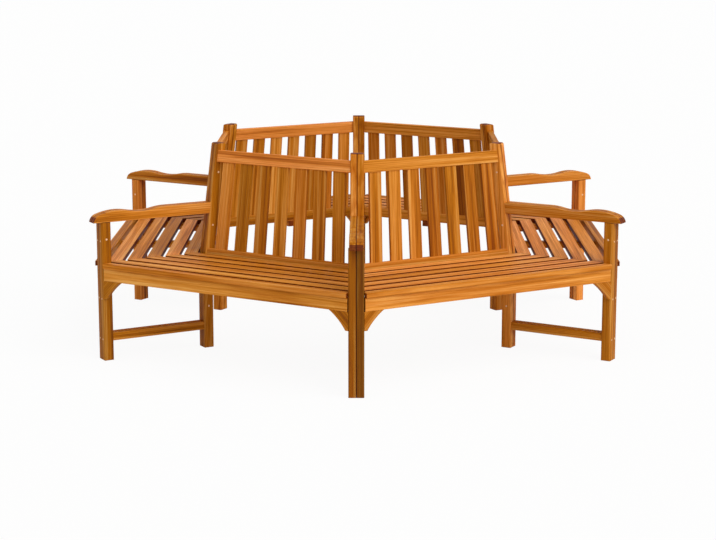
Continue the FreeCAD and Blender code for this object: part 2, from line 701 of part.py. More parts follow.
doc.recompute()
failed = [item.Name for item in doc.Objects if "Invalid" in item.State or "Error" in item.State]
if failed:
    raise RuntimeError(f"objects that failed: {failed}")
for item in nodes:
    if item.Shape.isNull() or not item.Shape.isValid() or not item.Shape.Solids:
        raise RuntimeError(f"{item.Label} has no valid shape")

os.makedirs("parts", exist_ok=True)
for item in nodes:
    item.Shape.exportStep(f"parts/{item.Label}.step")
print(f"{len(nodes)} sub-parts, {sum(len(item.Shape.Solids) for item in nodes)} solids")
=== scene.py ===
import math
import random

import bmesh
import bpy
import numpy as np
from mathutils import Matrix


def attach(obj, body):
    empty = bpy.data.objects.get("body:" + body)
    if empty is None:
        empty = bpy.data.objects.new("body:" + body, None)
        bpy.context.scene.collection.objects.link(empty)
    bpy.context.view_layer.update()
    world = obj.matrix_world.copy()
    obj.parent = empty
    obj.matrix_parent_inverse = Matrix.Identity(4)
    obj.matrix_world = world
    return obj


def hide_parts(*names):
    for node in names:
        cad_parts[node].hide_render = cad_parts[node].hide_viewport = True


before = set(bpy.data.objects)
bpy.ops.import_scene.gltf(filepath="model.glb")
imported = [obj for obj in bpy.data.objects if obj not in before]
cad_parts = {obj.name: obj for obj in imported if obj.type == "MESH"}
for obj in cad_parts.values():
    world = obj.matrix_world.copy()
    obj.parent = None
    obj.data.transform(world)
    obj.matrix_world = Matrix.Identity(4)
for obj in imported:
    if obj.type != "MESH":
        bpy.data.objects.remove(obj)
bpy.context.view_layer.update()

MM = 0.001
# Where each corner's ray and each side's middle lie, in degrees round the bench from its right
CORNERS = {"right_front": -30, "right_back": 30, "back": 90, "left_back": 150, "left_front": 210,
           "front": 270}
SIDES = {"right": 0, "back_right": 60, "back_left": 120, "left": 180, "front_left": 240, "front_right": 300}
PLUGGED_CORNERS = ("right_front", "right_back", "left_back", "left_front")
# A side is made facing along y
SIDE_AXIS = 90
chance = random.Random(41)

# Corner frames. Each half of a pair stops short of the seam between them
SEAM = 0.1
CORNER_REACH, LEG_DEPTH, LEG_THICKNESS, LEG_ROUND = 1270, 44, 32, 8
LEG_INNER = CORNER_REACH - LEG_DEPTH
BOARD = 28.5
POST_REACH, POST_DEPTH, POST_HEIGHT, POST_BEND, POST_LEAN = 795, 44, 905, 363, math.radians(7.7)
POST_TOP_ROUND, CORNER_ROUND, FRAME_EASE = 10, 4, 1.5
ARM_UNDER = 600
STRETCHER = {"under": 83, "height": 35, "thickness": 20}
# Backrest
BACK_RAIL, BACK_PROUD = 24, 7
LOWER_RAIL, TOP_RAIL = (400, 447), (824, 876)
BACK_SLATS, BACK_SLAT_WIDTH, BACK_SLAT_THICKNESS = 7, 57, 15
# How far an end runs into the piece that holds it, so that no gap shows
BURIED = 3
# A corner's ray lies this far round from the middle of the side
HALF = math.radians(30)


def post_face(height):
    """Reach of a post's outer face at a height above its bend."""
    return POST_REACH - math.tan(POST_LEAN) * (height - POST_BEND)


def back_face(height):
    """Distance of the backrest rails' outer face from the middle, square to the side."""
    return post_face(height) * math.cos(HALF) + BACK_PROUD


def along(distance, clearance):
    """Half length of a piece at a distance from the middle, its ends clear of the corners' centre planes."""
    return (distance * math.sin(HALF) - clearance) / math.cos(HALF)


# The backrest's rake, and where its outer face would meet the floor
BACK_RAKE = math.atan(math.tan(POST_LEAN) * math.cos(HALF))
LEAN_LINE = back_face(0)
# Seat
SEAT_HEIGHT, SLAT_THICKNESS, FRONT_SLAT, FULL_SLATS, SLAT_GAP, MITRE_GAP = 426, 21, 38, 5, 20, 2
SEAT_OVERHANG, SEAT_BACK_GAP = 24, 13
SLAT_UNDER = SEAT_HEIGHT - SLAT_THICKNESS
SEAT_FRONT = CORNER_REACH * math.cos(HALF) + SEAT_OVERHANG
SLAT_WIDTH = (SEAT_FRONT - FRONT_SLAT - back_face(SEAT_HEIGHT) - SEAT_BACK_GAP) / FULL_SLATS - SLAT_GAP
RAIL_DEPTH = 30
APRON_SET_BACK, APRON_THICKNESS, APRON_HEIGHT = 9, 22, 55
APRON_FRONT = SEAT_FRONT - APRON_SET_BACK
APRON_BACK = APRON_FRONT - APRON_THICKNESS
APRON_UNDER = SLAT_UNDER - APRON_HEIGHT
BATTEN_WIDTH, BATTEN_SET_BACK = 35, 12
BATTEN_END = back_face(LOWER_RAIL[0]) - BACK_RAIL - BATTEN_SET_BACK


# Camera at the photograph's angle. Its two turns are in radians
LOOK_DOWN, LOOK_LEFT = 0.1948, 0.0053
camera = bpy.data.objects.new("camera", bpy.data.cameras.new("camera"))
camera.data.sensor_width = 36
camera.data.lens = 93.5
camera.location = (0.0446, -8.4220, 1.9303)
camera.rotation_euler = (math.pi / 2 - LOOK_DOWN, 0, LOOK_LEFT)
bpy.context.scene.collection.objects.link(camera)
bpy.context.scene.camera = camera


def hue(text):
    """An sRGB hex colour as linear red, green and blue, with full alpha."""
    parts = [int(text[place:place + 2], 16) / 255 for place in (1, 3, 5)]
    return [part / 12.92 if part <= 0.04045 else ((part + 0.055) / 1.055) ** 2.4 for part in parts] + [1.0]


def add(tree, kind, feeds=None, stops=(), **settings):
    """Add a node with its settings. Each feed goes to the input of that name or number: a value, an output or
    a node. The stops are a ramp's places and colours."""
    made = tree.nodes.new(kind)
    for name, setting in settings.items():
        setattr(made, name, setting)
    for number, (place, colour) in enumerate(stops):
        if number == len(made.color_ramp.elements):
            made.color_ramp.elements.new(place)
        made.color_ramp.elements[number].position = place
        made.color_ramp.elements[number].color = hue(colour)
    for place, feed in (feeds or {}).items():
        if isinstance(feed, bpy.types.Node):
            feed = feed.outputs[0]
        if isinstance(feed, bpy.types.NodeSocket):
            tree.links.new(feed, made.inputs[place])
        else:
            made.inputs[place].default_value = feed
    return made


def new_material(name, finish):
    """A material whose Principled shader has fixed values, given by socket."""
    made = bpy.data.materials.new(name)
    made.use_nodes = True
    tree = made.node_tree
    shader = tree.nodes["Principled BSDF"]
    for socket, number in finish.items():
        shader.inputs[socket].default_value = number
    return made, tree, shader


# Sockets of a mix node that blends colours, by number, because it has their names more than once
SHARE, UNDER, OVER, MIXED = 0, 6, 7, 2


def oiled_acacia():
    """Planed acacia under garden oil: golden brown, with long dark streaks along each board, a tone that
    differs from board to board, darker end grain, a soft sheen broken by the fibres, and painted shade in
    the joint where two boards are paired and on the sides of seat slats in their gaps."""
    made, tree, shader = new_material("oiled_acacia", {"IOR": 1.48, "Specular IOR Level": 0.12})
    own = add(tree, "ShaderNodeAttribute", attribute_name="grain").outputs["Vector"]
    shift = add(tree, "ShaderNodeAttribute", attribute_name="shift").outputs["Vector"]
    tone = add(tree, "ShaderNodeAttribute", attribute_name="tone").outputs["Vector"]
    end = add(tree, "ShaderNodeAttribute", attribute_name="end").outputs["Fac"]
    seam = add(tree, "ShaderNodeAttribute", attribute_name="seam").outputs["Fac"]
    grain = add(tree, "ShaderNodeVectorMath", {0: own, 1: shift}, operation="ADD")
    tones = add(tree, "ShaderNodeSeparateXYZ", {0: tone})

    # Heartwood streaks about 18 mm wide and 900 mm long
    streak_place = add(tree, "ShaderNodeVectorMath", {0: grain, 1: (1.1, 55, 55)}, operation="MULTIPLY")
    streaks = add(tree, "ShaderNodeTexNoise", {"Vector": streak_place, "Scale": 1, "Detail": 4,
                                               "Roughness": 0.55, "Distortion": 0.5})
    # Growth rings 8 mm apart, drawn out into arches along the board
    ring_place = add(tree, "ShaderNodeVectorMath", {0: grain, 1: (0.04, 1, 0.5)}, operation="MULTIPLY")
    rings = add(tree, "ShaderNodeTexWave", {"Vector": ring_place, "Scale": 40, "Distortion": 7, "Detail": 3,
                                            "Detail Scale": 0.7, "Detail Roughness": 0.6},
                bands_direction="Y")
    # Fibres are 0.3 mm wide: drawn at 2 mm, or they would not show
    fibre_place = add(tree, "ShaderNodeVectorMath", {0: grain, 1: (10, 480, 480)}, operation="MULTIPLY")
    fibres = add(tree, "ShaderNodeTexNoise", {"Vector": fibre_place, "Scale": 1, "Detail": 3,
                                              "Roughness": 0.6})

    body = add(tree, "ShaderNodeValToRGB", {"Fac": streaks},
               [(0.32, "#98561F"), (0.43, "#BF7733"), (0.54, "#D18945"), (0.67, "#E0A35E")])
    ring_shade = add(tree, "ShaderNodeValToRGB", {"Fac": rings}, [(0.0, "#C8965C"), (0.5, "#FFFFFF")])
    ringed = add(tree, "ShaderNodeMix", {SHARE: 0.36, UNDER: body, OVER: ring_shade},
                 data_type="RGBA", blend_type="MULTIPLY")
    fibre_shade = add(tree, "ShaderNodeValToRGB", {"Fac": fibres}, [(0.30, "#B88452"), (0.55, "#FFFFFF")])
    figured = add(tree, "ShaderNodeMix", {SHARE: 0.45, UNDER: ringed.outputs[MIXED], OVER: fibre_shade},
                  data_type="RGBA", blend_type="MULTIPLY")
    brightness = add(tree, "ShaderNodeMapRange", {"Value": tones.outputs["X"], "To Min": 0.3, "To Max": 1.4})
    # Darker boards are richer and redder
    strength = add(tree, "ShaderNodeMapRange", {"Value": tones.outputs["X"], "To Min": 1.12, "To Max": 1.02})
    redder = add(tree, "ShaderNodeMapRange", {"Value": tones.outputs["X"], "From Max": 0.5, "To Min": -0.007,
                                              "To Max": 0.0})
    own_lean = add(tree, "ShaderNodeMapRange", {"Value": tones.outputs["Z"], "To Min": 0.497,
                                                "To Max": 0.505})
    lean = add(tree, "ShaderNodeMath", {0: own_lean, 1: redder}, operation="ADD")
    toned = add(tree, "ShaderNodeHueSaturation", {"Hue": lean, "Saturation": strength, "Value": brightness,
                                                  "Color": figured.outputs[MIXED]})
    ended = add(tree, "ShaderNodeMix", {SHARE: end, UNDER: toned, OVER: hue("#98724E")},
                data_type="RGBA", blend_type="MULTIPLY")
    # Painted shade: the last 3 mm of a board before the seam of a pair, and the sides of seat slats that
    # stand in the gaps, are darkened to stand in for the shade there
    dark = add(tree, "ShaderNodeMapRange", {"Value": seam, "From Min": 0.90, "From Max": 0.97})
    shade_painted = add(tree, "ShaderNodeMix", {SHARE: dark, UNDER: ended.outputs[MIXED], OVER: hue("#7A4A2A")},
                 data_type="RGBA", blend_type="MULTIPLY")
    tree.links.new(shade_painted.outputs[MIXED], shader.inputs["Base Color"])
    sheen = add(tree, "ShaderNodeMapRange", {"Value": fibres, "To Min": 0.46, "To Max": 0.66})
    tree.links.new(sheen.outputs[0], shader.inputs["Roughness"])
    relief = add(tree, "ShaderNodeBump", {"Strength": 0.35, "Distance": 0.0004, "Height": fibres})
    tree.links.new(relief.outputs[0], shader.inputs["Normal"])
    return made


def speckled(name, finish, per_metre, detail, stops):
    """A material coloured by specks, so many in a metre, and the node that draws them."""
    made, tree, shader = new_material(name, finish)
    place = add(tree, "ShaderNodeTexCoord").outputs["Object"]
    specks = add(tree, "ShaderNodeTexNoise", {"Vector": place, "Scale": per_metre, "Detail": detail})
    body = add(tree, "ShaderNodeValToRGB", {"Fac": specks}, stops)
    tree.links.new(body.outputs[0], shader.inputs["Base Color"])
    return made, specks


def plug_wood():
    """Pale turned plugs glued over the bolts and cut flush: end grain with fine speckle."""
    # Pores are drawn 1 mm apart
    return speckled("birch_plug", {"IOR": 1.5, "Roughness": 0.55}, 1000, 2,
                    [(0.35, "#D9A878"), (0.6, "#F0CBA0")])[0]


def dowel_wood():
    """Fluted beech dowels, hidden in their joints: pale pinkish brown with short dark flecks."""
    # Ray flecks about 2 mm long
    return speckled("beech_dowel", {"IOR": 1.5, "Roughness": 0.6}, 500, 2,
                    [(0.35, "#C99B6E"), (0.6, "#DDB68A")])[0]


def zinc_steel():
    """Zinc-plated steel bolts, nuts and screws: a grey metal clouded by the plating's crystals."""
    # Crystals about 3 mm across
    made, clouds = speckled("zinc_plated_steel", {"Metallic": 1.0}, 330, 3,
                            [(0.3, "#A8ABAC"), (0.7, "#C9CBC8")])
    tree = made.node_tree
    sheen = add(tree, "ShaderNodeMapRange", {"Value": clouds, "To Min": 0.30, "To Max": 0.45})
    tree.links.new(sheen.outputs[0], tree.nodes["Principled BSDF"].inputs["Roughness"])
    return made


TIMBER, PLUG, DOWEL, STEEL = oiled_acacia(), plug_wood(), dowel_wood(), zinc_steel()


# Chance gives each board a brightness, a number that is only drawn, and a lean to red or yellow, between
# these limits. It also gives the place in the timber that the board is cut from, up to GRAIN_SHIFT metres
# away
TONE_LIMITS = ((0.37, 0.82), (0, 1), (0, 1))
GRAIN_SHIFT = 4.0
# Brightness, from 0 to 1, of the boards that are listed lighter or darker
# The lower rails of the left and right seats are darkened as painted shade in the corner behind the seat
CHOSEN = {"front_corner_leg_pair": (0.0, 0.23), "front_corner_post_pair": (0.55, 0.7),
          "front_corner_arm_pair": (0.39, 0.5), "left_front_corner_arm_pair": (0.75, 0.67),
          "right_front_corner_arm_pair": (0.53, 0.53), "left_front_corner_leg_pair": (0.35, 0.35),
          "right_front_corner_leg_pair": (0.49, 0.49), "right_front_corner_post_pair": (0.9, 0.9),
          "front_right_side_apron_board": (0.83,), "front_left_side_apron_board": (0.78,),
          "front_right_side_top_rail_board": (0.75,), "front_left_side_top_rail_board": (0.97,),
          "back_left_side_top_rail_board": (1.0,), "back_right_side_top_rail_board": (0.81,),
          "right_back_corner_leg_pair": (1.0, 1.0), "front_left_side_lower_rail_board": (0.6,),
          "front_right_side_lower_rail_board": (0.7,), "left_side_lower_rail_board": (0.2,),
          "right_side_lower_rail_board": (0.2,), "front_left_side_front_slat": (0.73,),
          "front_right_side_front_slat": (0.8,)}


# Boards made here: an outline given a thickness. A corner of the outline that turns by more than SHARP is
# eased. A face looks along an axis when that part of its normal is more than FACING: along the grain, it
# shows end grain
SHARP = math.radians(25)
FACING = 0.7


def board(outline, low, high, lie, grain=(1, 0), ease=2.0, far_ease=None, rounds=None):
    """A board cut to an outline of (u, v) points and as thick as from w = low to high, where `lie` gives the
    place of (u, v, w). `grain` is the grain's direction in the outline. Edges are eased by `ease`, those at
    w = high by `far_ease`, and the outline's corners by their number in `rounds`."""
    count = len(outline)
    flat = np.array([(u, v, w) for w in (low, high) for u, v in outline], float)
    places = np.array([lie(*point) for point in flat])
    faces = [list(range(count)), list(range(count, 2 * count))]
    faces += [[i, (i + 1) % count, count + (i + 1) % count, count + i] for i in range(count)]
    run = np.array(grain, float) / math.hypot(*grain)
    fibre = np.column_stack([flat[:, :2] @ run, flat[:, :2] @ [-run[1], run[0]], flat[:, 2]])
    edges, ends = {}, [0.0, 0.0]
    for i in range(count):
        before, here, after = (np.array(outline[(i + step) % count], float) for step in (-1, 0, 1))
        come, go = here - before, after - here
        turn = math.atan2(come[0] * go[1] - come[1] * go[0], come @ go)
        edges[i, (i + 1) % count] = ease
        edges[count + i, count + (i + 1) % count] = far_ease or ease
        edges[i, count + i] = (rounds or {}).get(i, ease) if abs(turn) > SHARP else 0
        across = np.array([-go[1], go[0]]) / np.linalg.norm(go)
        ends.append(1.0 if abs(across @ run) > FACING else 0.0)
    # Mask for the painted shade in the joint: 1 at the seam of a pair and 0 on the far face, or 0 all over on
    # a board that isn't paired
    seam = (high - flat[:, 2]) / (high - low) * (low == SEAM)
    return {"places": places, "faces": faces, "fibre": fibre, "edges": edges, "ends": ends, "seam": seam}


def turned(places, degrees):
    """Points turned about the bench's axis."""
    angle = math.radians(degrees)
    cosine, sine = math.cos(angle), math.sin(angle)
    return places @ np.array([[cosine, sine, 0], [-sine, cosine, 0], [0, 0, 1]])


def settled(piece):
    """The piece with its modifiers taken into its mesh."""
    bpy.context.view_layer.update()
    graph = bpy.context.evaluated_depsgraph_get()
    mesh = bpy.data.meshes.new_from_object(piece.evaluated_get(graph), preserve_all_data_layers=True,
                                           depsgraph=graph)
    piece.modifiers.clear()
    piece.data = mesh
    mesh.name = piece.name
    return piece


def declared(piece, finish_slot, *nodes):
    """Hang the piece under the root body and hide the CAD nodes that it stands for. The finish slot is not
    used.
    """
    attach(piece, "root")
    if nodes:
        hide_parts(*nodes)


def new_piece(name, mesh):
    """An object of this mesh in the scene."""
    piece = bpy.data.objects.new(name, mesh)
    bpy.context.scene.collection.objects.link(piece)
    return piece


def soften(piece, width, limit="ANGLE", segments=3):
    """Ease the piece's edges and keep its flat faces flat in the light."""
    edge = piece.modifiers.new("eased_edges", "BEVEL")
    edge.width, edge.segments, edge.limit_method = width * MM, segments, limit
    edge.angle_limit = math.radians(30)
    edge.use_clamp_overlap = False
    piece.modifiers.new("flat_faces", "WEIGHTED_NORMAL")
    return settled(piece)


def joined(name, laid, *nodes):
    """Make one piece of several boards. `laid` lists a board, its turn in degrees, and the axis it is
    mirrored on or None."""
    places, faces, fibre, shift, tone, ends, seam, edges = [], [], [], [], [], [], [], {}
    for number, (item, degrees, mirror) in enumerate(laid):
        start = sum(map(len, places))
        here = item["places"].copy()
        if mirror is not None:
            here[:, mirror] *= -1
        places.append(turned(here, degrees) * MM)
        faces += [[start + corner for corner in face] for face in item["faces"]]
        edges.update({(start + a, start + b): radius for (a, b), radius in item["edges"].items()})
        fibre.append(item["fibre"] * MM)
        seam.append(item["seam"])
        shift.append(np.tile([chance.uniform(-GRAIN_SHIFT, GRAIN_SHIFT) for _ in range(3)], (len(here), 1)))
        own = [chance.uniform(*limits) for limits in TONE_LIMITS]
        if name in CHOSEN:
            own[0] = CHOSEN[name][number]
        tone.append(np.tile(own, (len(here), 1)))
        ends += item["ends"]
    mesh = bpy.data.meshes.new(name)
    mesh.from_pydata(np.concatenate(places).tolist(), [], faces)
    corners = np.zeros(len(mesh.loops), int)
    mesh.loops.foreach_get("vertex_index", corners)
    for label, kind, domain, numbers in (("grain", "FLOAT_VECTOR", "CORNER", np.concatenate(fibre)[corners]),
                                         ("seam", "FLOAT", "CORNER", np.concatenate(seam)[corners]),
                                         ("shift", "FLOAT_VECTOR", "POINT", np.concatenate(shift)),
                                         ("tone", "FLOAT_VECTOR", "POINT", np.concatenate(tone)),
                                         ("end", "FLOAT", "FACE", np.array(ends))):
        mesh.attributes.new(label, kind, domain).data.foreach_set(
            "vector" if kind == "FLOAT_VECTOR" else "value", numbers.astype(np.float32).ravel())
    widest = max(edges.values())
    weights = [edges.get(tuple(edge.vertices), edges.get(tuple(edge.vertices)[::-1], 0)) / widest
               for edge in mesh.edges]
    mesh.attributes.new("bevel_weight_edge", "FLOAT", "EDGE").data.foreach_set("value", weights)
    work = bmesh.new()
    work.from_mesh(mesh)
    bmesh.ops.recalc_face_normals(work, faces=work.faces)
    work.to_mesh(mesh)
    work.free()
    mesh.shade_smooth()
    mesh.materials.append(TIMBER)
    declared(soften(new_piece(name, mesh), widest, "WEIGHT", segments=4), "oiled_hardwood", *nodes)


def upright(u, v, w):
    """A corner board: its outline stands in the plane of the seam."""
    return u, w, v


def lying(u, v, w):
    """A side's board that lies flat."""
    return u, v, w


def arc(centre, radius, start, end, steps):
    """Points on an arc from one angle to another, both in radians and both included."""
    return [(centre[0] + radius * math.cos(start + (end - start) * i / steps),
             centre[1] + radius * math.sin(start + (end - start) * i / steps)) for i in range(steps + 1)]


# Corner frames
def arm_outline():
    """The arm's top runs level from the post, dips, rises over the leg and turns down at the nose."""
    rear_height, dip, hump = 648, (1078, 636), (1190, 647)
    hump_round, rear_round, nose_round, nose_end = 260, 250, 40, 1303
    nose_x = nose_end - nose_round
    dip_round = ((hump[0] - dip[0]) ** 2 + (hump[1] - dip[1]) ** 2) / (2 * (hump[1] - dip[1])) - hump_round
    fall = rear_height - dip[1]
    rear = (dip[0] - math.sqrt(2 * (rear_round + dip_round) * fall - fall ** 2), rear_height - rear_round)
    hollow = (dip[0], dip[1] + dip_round)
    top = (hump[0], hump[1] - hump_round)
    rise = math.sqrt((hump_round - nose_round) ** 2 - (nose_x - top[0]) ** 2)
    nose = (nose_x, top[1] + rise)

    def aim(start, end):
        return math.atan2(end[1] - start[1], end[0] - start[0])

    first, second, third = aim(rear, hollow), aim(top, hollow), aim(top, nose)
    down = -math.asin((nose[1] - ARM_UNDER) / nose_round)
    points = [(post_face(ARM_UNDER) - BURIED, ARM_UNDER), (post_face(rear_height) - BURIED, rear_height)]
    points += arc(rear, rear_round, math.pi / 2, first, steps=6)
    points += arc(hollow, dip_round, first - math.pi, second - math.pi, steps=14)[1:]
    points += arc(top, hump_round, second, third, steps=12)[1:]
    points += arc(nose, nose_round, third, down, steps=10)[1:]
    return points


leg = board([(LEG_INNER, 0), (CORNER_REACH, 0), (CORNER_REACH, ARM_UNDER), (LEG_INNER, ARM_UNDER)],
            SEAM, LEG_THICKNESS, upright, grain=(0, 1), ease=FRAME_EASE)
# Corners 4 to 7 lie on the face away from the seam: its two upright edges are rounded
leg["edges"].update({(5, 6): LEG_ROUND, (7, 4): LEG_ROUND})
post_top = post_face(POST_HEIGHT)
# The grain leans half as far as the post's upper part
post = board([(POST_REACH - POST_DEPTH, 0), (POST_REACH, 0), (POST_REACH, POST_BEND),
              (post_top, POST_HEIGHT), (post_top - POST_DEPTH, POST_HEIGHT),
              (POST_REACH - POST_DEPTH, POST_BEND)],
             SEAM, BOARD, upright, grain=(-0.07, 1), ease=FRAME_EASE, far_ease=CORNER_ROUND,
             rounds={3: POST_TOP_ROUND, 4: POST_TOP_ROUND})
arm = board(arm_outline(), SEAM, BOARD, upright, ease=FRAME_EASE, far_ease=CORNER_ROUND)
stretcher = board([(POST_REACH - BURIED, STRETCHER["under"]), (LEG_INNER + BURIED, STRETCHER["under"]),
                   (LEG_INNER + BURIED, STRETCHER["under"] + STRETCHER["height"]),
                   (POST_REACH - BURIED, STRETCHER["under"] + STRETCHER["height"])],
                  (BOARD - STRETCHER["thickness"]) / 2, (BOARD + STRETCHER["thickness"]) / 2, upright)
rail_start = post_face(SLAT_UNDER) - BURIED
seat_rail = board([(rail_start, SLAT_UNDER - RAIL_DEPTH), (LEG_INNER + BURIED, SLAT_UNDER - RAIL_DEPTH),
                   (LEG_INNER + BURIED, SLAT_UNDER), (rail_start, SLAT_UNDER)], SEAM, BOARD, upright)


def both(item, degrees, mirror=1):
    """A board and its mirror image, turned to their place."""
    return [(item, degrees, None), (item, degrees, mirror)]


for name, degrees in CORNERS.items():
    joined(f"{name}_corner_leg_pair", both(leg, degrees), f"{name}_corner_outer_legs")
    joined(f"{name}_corner_post_pair", both(post, degrees), f"{name}_corner_posts")
    joined(f"{name}_corner_arm_pair", both(arm, degrees), f"{name}_corner_arms")
everywhere = list(CORNERS.values())
joined("stretcher_boards", [copy for degrees in everywhere for copy in both(stretcher, degrees)],
       "stretchers")
joined("seat_rail_boards", [copy for degrees in everywhere for copy in both(seat_rail, degrees)],
       "seat_rails")


# Sides
def leaning(u, v, w):
    """A backrest piece: u along the side, v up the leaning plane and w out of it."""
    return (u, LEAN_LINE + w * math.cos(BACK_RAKE) - v * math.sin(BACK_RAKE),
            w * math.sin(BACK_RAKE) + v * math.cos(BACK_RAKE))


def back_rail(under, top):
    """A backrest rail whose two ends follow the posts' sides."""
    low, high = under / math.cos(BACK_RAKE), top / math.cos(BACK_RAKE)
    item = board([(-1, low), (1, low), (1, high), (-1, high)], -BACK_RAIL, 0, leaning, ease=2.5)
    half = np.array([along(place[1], BOARD) + BURIED / 2 for place in item["places"]])
    item["places"][:, 0] *= half
    item["fibre"][:, 0] *= half
    return item


def front_slat_outline():
    """The narrow front slat: its ends follow the legs' sides and are cut square at the tip."""
    square, clearance = 18, 0.3
    back, tip, beside = SEAT_FRONT - FRONT_SLAT, SEAT_FRONT - square, LEG_THICKNESS + clearance
    right = [(along(back, beside), back), (along(tip, beside), tip), (along(tip, beside), SEAT_FRONT)]
    return right + [(-u, v) for u, v in reversed(right)]


def bracket_outline():
    """Knee bracket: a hollowed edge from under the apron to a blunt tip beside the leg."""
    drop, tip, length, radius = 78, 14, 90, 260
    start = np.array((bracket_end - tip, APRON_UNDER - drop))
    end = np.array((bracket_end - length, APRON_UNDER))
    run = end - start
    left = np.array([-run[1], run[0]]) / np.linalg.norm(run)
    centre = (start + end) / 2 + left * math.sqrt(radius ** 2 - (np.linalg.norm(run) / 2) ** 2)
    first, last = (math.atan2(*(point - centre)[::-1]) for point in (start, end))
    if first - last > math.pi:
        last += 2 * math.pi
    if last - first > math.pi:
        first += 2 * math.pi
    outline = [(bracket_end, APRON_UNDER), (bracket_end, APRON_UNDER - drop)]
    return outline + arc(centre, radius, first, last, steps=10)


# The apron's ends stand clear of the legs in front. At the back they run into them, nearly sharp, so that no
# gap shows
apron_clearance, apron_bite, nearly_sharp = 3.5, 0.5, 0.3
apron_half = along(APRON_FRONT, LEG_THICKNESS + apron_clearance)
apron_back_half = along(APRON_BACK, LEG_THICKNESS - apron_bite)
apron = board([(-apron_back_half, APRON_BACK), (apron_back_half, APRON_BACK), (apron_half, APRON_FRONT),
               (-apron_half, APRON_FRONT)],
              APRON_UNDER, SLAT_UNDER, lying, rounds={0: nearly_sharp, 1: nearly_sharp})
front_slat = board(front_slat_outline(), SLAT_UNDER, SEAT_HEIGHT, lying)
batten = board([(BATTEN_END, SLAT_UNDER - RAIL_DEPTH), (APRON_BACK, SLAT_UNDER - RAIL_DEPTH),
                (APRON_BACK, SLAT_UNDER), (BATTEN_END, SLAT_UNDER)],
               -BATTEN_WIDTH / 2, BATTEN_WIDTH / 2, lambda u, v, w: (w, u, v))
bracket_set_back = 1
bracket_front = APRON_FRONT - bracket_set_back
bracket_end = along(bracket_front, LEG_THICKNESS)
bracket = board(bracket_outline(), APRON_BACK, bracket_front, upright, grain=(1, -1), ease=0.8)
# Its end beside the leg follows the leg's side
for place in bracket["places"]:
    place[0] = min(place[0], along(place[1], LEG_THICKNESS))
lower_rail, top_rail = back_rail(*LOWER_RAIL), back_rail(*TOP_RAIL)
for name, azimuth in SIDES.items():
    turn = azimuth - SIDE_AXIS
    joined(f"{name}_side_apron_board", [(apron, turn, None)], f"{name}_side_apron")
    joined(f"{name}_side_top_rail_board", [(top_rail, turn, None)], f"{name}_side_top_rail")
    joined(f"{name}_side_lower_rail_board", [(lower_rail, turn, None)], f"{name}_side_lower_rail")
    joined(f"{name}_side_front_slat", [(front_slat, turn, None)], f"{name}_side_seat_slats")
turns = [azimuth - SIDE_AXIS for azimuth in SIDES.values()]
joined("seat_batten_boards", [(batten, turn, None) for turn in turns], "seat_battens")
joined("knee_bracket_boards", [copy for turn in turns for copy in both(bracket, turn, 0)], "knee_brackets")


# Geometry Nodes trees for what repeats
def new_tree(name, inputs):
    """A tree with named inputs. `inputs` gives each one's socket type."""
    tree = bpy.data.node_groups.new(name, "GeometryNodeTree")
    tree.interface.new_socket("Geometry", in_out="OUTPUT", socket_type="NodeSocketGeometry")
    for label, kind in inputs.items():
        tree.interface.new_socket(label, in_out="INPUT", socket_type="NodeSocket" + kind)
    return tree, add(tree, "NodeGroupInput").outputs


def grown(name, tree, numbers, mesh=None):
    """A piece that the tree makes from these numbers."""
    piece = new_piece(name, mesh or bpy.data.meshes.new(name))
    growth = piece.modifiers.new("growth", "NODES")
    growth.node_group = tree
    sockets = {item.name: item.identifier for item in tree.interface.items_tree if item.in_out == "INPUT"}
    for label, number in numbers.items():
        growth[sockets[label]] = number
    return piece


def marked(tree, geometry, seed, darkest, lightest):
    """Give each instance its own stretch of grain, and its own tone from darkest to lightest."""
    for label, low, high, offset in (("shift", (-GRAIN_SHIFT,) * 3, (GRAIN_SHIFT,) * 3, 0),
                                     ("tone", darkest, lightest, 100)):
        own_seed = add(tree, "ShaderNodeMath", {0: seed, 1: offset}, operation="ADD")
        number = add(tree, "FunctionNodeRandomValue", {0: low, 1: high, "Seed": own_seed},
                     data_type="FLOAT_VECTOR")
        geometry = add(tree, "GeometryNodeStoreNamedAttribute",
                       {"Geometry": geometry, "Name": label, "Value": number.outputs[0]},
                       data_type="FLOAT_VECTOR", domain="INSTANCE")
    return geometry


def facing_marked(tree, geometry, axis, label):
    """Mark the faces that look along an axis with 1 under this label, and the others with 0."""
    facing = add(tree, "ShaderNodeSeparateXYZ", {0: add(tree, "GeometryNodeInputNormal")}).outputs[axis]
    size = add(tree, "ShaderNodeMath", {0: facing}, operation="ABSOLUTE")
    looks = add(tree, "ShaderNodeMath", {0: size, 1: FACING}, operation="GREATER_THAN")
    return add(tree, "GeometryNodeStoreNamedAttribute",
               {"Geometry": geometry, "Name": label, "Value": looks},
               data_type="FLOAT", domain="FACE")


def grained(tree, geometry, axes):
    """Lay the grain: its first axis runs along the board."""
    fibre = add(tree, "ShaderNodeCombineXYZ", dict(enumerate(axes)))
    return add(tree, "GeometryNodeStoreNamedAttribute",
               {"Geometry": geometry, "Name": "grain", "Value": fibre},
               data_type="FLOAT_VECTOR", domain="POINT")


def finished(tree, geometry, given):
    """Turn the work to its place and end the tree in plain smooth mesh with its material."""
    turn = add(tree, "ShaderNodeCombineXYZ", {2: given["Turn"]})
    placed = add(tree, "GeometryNodeTransform", {"Geometry": geometry, "Rotation": turn})
    smooth = add(tree, "GeometryNodeSetShadeSmooth", {"Geometry": placed})
    real = add(tree, "GeometryNodeRealizeInstances", {"Geometry": smooth})
    timbered = add(tree, "GeometryNodeSetMaterial", {"Geometry": real, "Material": given["Timber"]})
    add(tree, "NodeGroupOutput", {0: timbered})
    return tree


